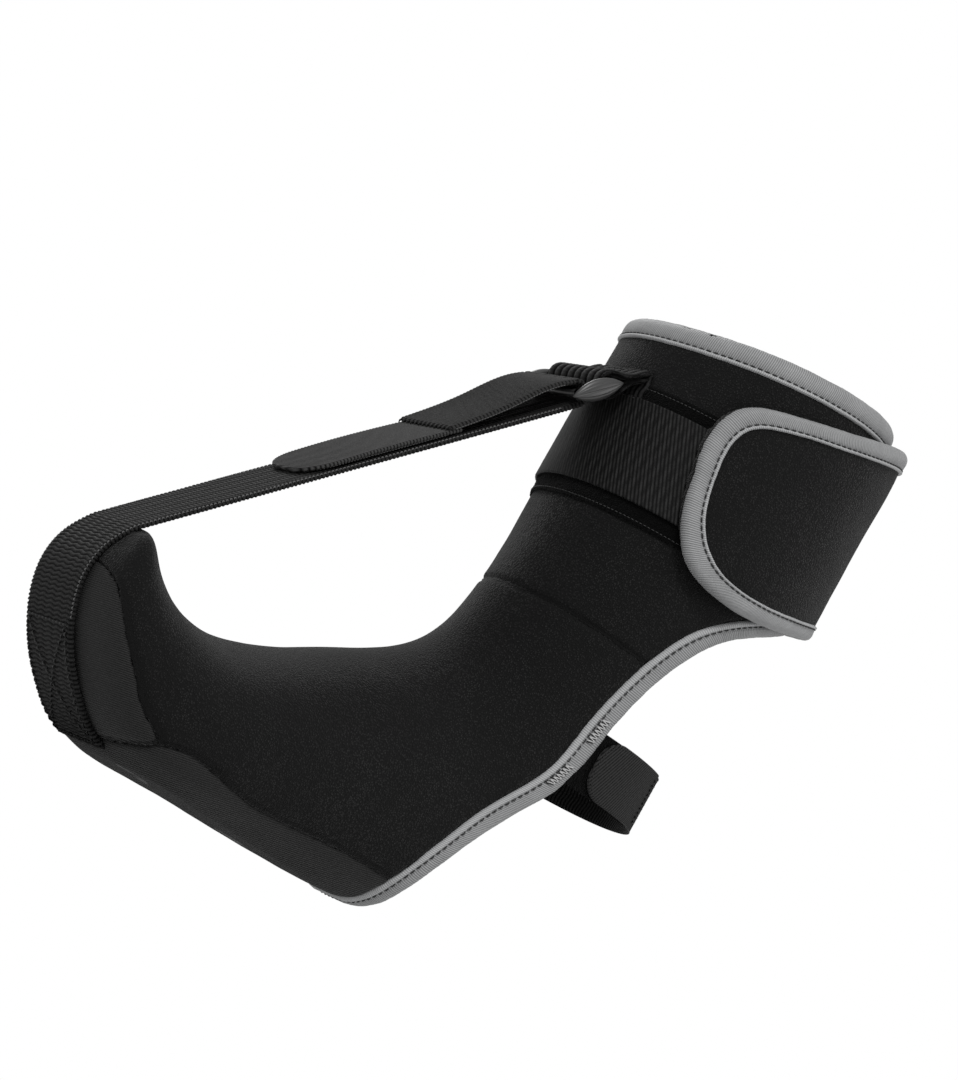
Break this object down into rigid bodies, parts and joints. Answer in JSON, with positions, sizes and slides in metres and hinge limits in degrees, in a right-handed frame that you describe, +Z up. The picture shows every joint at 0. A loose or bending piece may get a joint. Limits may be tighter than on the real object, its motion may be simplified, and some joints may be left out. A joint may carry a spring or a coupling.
{
  "type": "ankle foot orthosis",
  "caption": "Soft boot-shaped ankle foot orthosis with an open heel, wrap cuff, toe pull strap through a ring, elastic band and heel strap.",
  "frame": {"origin": "bottom centre of the whole object's box, on the plane that the sole stands on", "axes": "+X forward to the toes, +Y to the side that carries the closing flap, +Z up the leg"},
  "size_m": [0.2765, 0.1106, 0.2613],
  "materials": {
    "knit_neoprene": "black nylon-faced neoprene, fine knit, matt",
    "twill_neoprene": "black nylon-faced neoprene, diagonal weave, matt",
    "grey_grosgrain": "grey ribbed binding tape, satin",
    "black_webbing": "black ribbed nylon webbing",
    "fold_webbing": "charcoal textured webbing",
    "hook_tape": "charcoal finely ribbed hook tape",
    "loop_tape": "very dark fuzzy loop tape",
    "elastic": "black ribbed elastic",
    "ring_plastic": "dark grey moulded plastic, satin gloss",
    "board_plastic": "plain semi-rigid board",
    "insole_foam": "brushed black foam laminate"
  },
  "bodies": {
    "boot": {"toe_gusset": "twill_neoprene", "sole_cover": "twill_neoprene", "foot_upper": "knit_neoprene", "cuff_panel": "knit_neoprene", "heel_binding": "grey_grosgrain", "top_binding": "grey_grosgrain", "rear_wing": "knit_neoprene", "rear_wing_binding": "grey_grosgrain", "sole_board": "board_plastic", "insole": "insole_foam", "loop_strip": "loop_tape", "elastic_strap": "elastic", "heel_strap_far": "black_webbing", "heel_loop_tab": "loop_tape", "toe_strap": "black_webbing", "ring_anchor": "black_webbing"},
    "ring": {"pull_ring": "ring_plastic"},
    "strap_tail": {"strap_tail": "fold_webbing", "strap_hook_tab": "hook_tape"},
    "flap": {"flap_panel": "knit_neoprene", "flap_binding": "grey_grosgrain", "elastic_root": "elastic", "flap_hook_patch": "hook_tape"},
    "elastic_tab": {"elastic_hook_tab": "hook_tape"},
    "heel_strap": {"heel_strap_near": "black_webbing", "heel_hook_tab": "hook_tape"}
  },
  "joints": [
    {"name": "flap_swing", "type": "hinge", "parent": "boot", "child": "flap", "pos_m": [-0.1383, -0.0041, 0.215], "axis": [0, 0, 1], "range_deg": [0, 40], "deforming": ["elastic_strap"]},
    {"name": "elastic_tab_peel", "type": "hinge", "parent": "boot", "child": "elastic_tab", "pos_m": [-0.02768, -0.03844, 0.195], "axis": [0, 0, 1], "range_deg": [0, 110]},
    {"name": "strap_tail_peel", "type": "hinge", "parent": "boot", "child": "strap_tail", "pos_m": [0.00887, -0.0041, 0.20488], "axis": [0, -1, 0], "range_deg": [0, 120]},
    {"name": "ring_swivel", "type": "hinge", "parent": "boot", "child": "ring", "pos_m": [-0.00511, -0.0041, 0.21145], "axis": [0, 1, 0], "range_deg": [-5, 5]},
    {"name": "heel_strap_swing", "type": "hinge", "parent": "boot", "child": "heel_strap", "pos_m": [-0.113, -0.0041, 0.088], "axis": [0, 0, 1], "range_deg": [0, 120]}
  ]
}
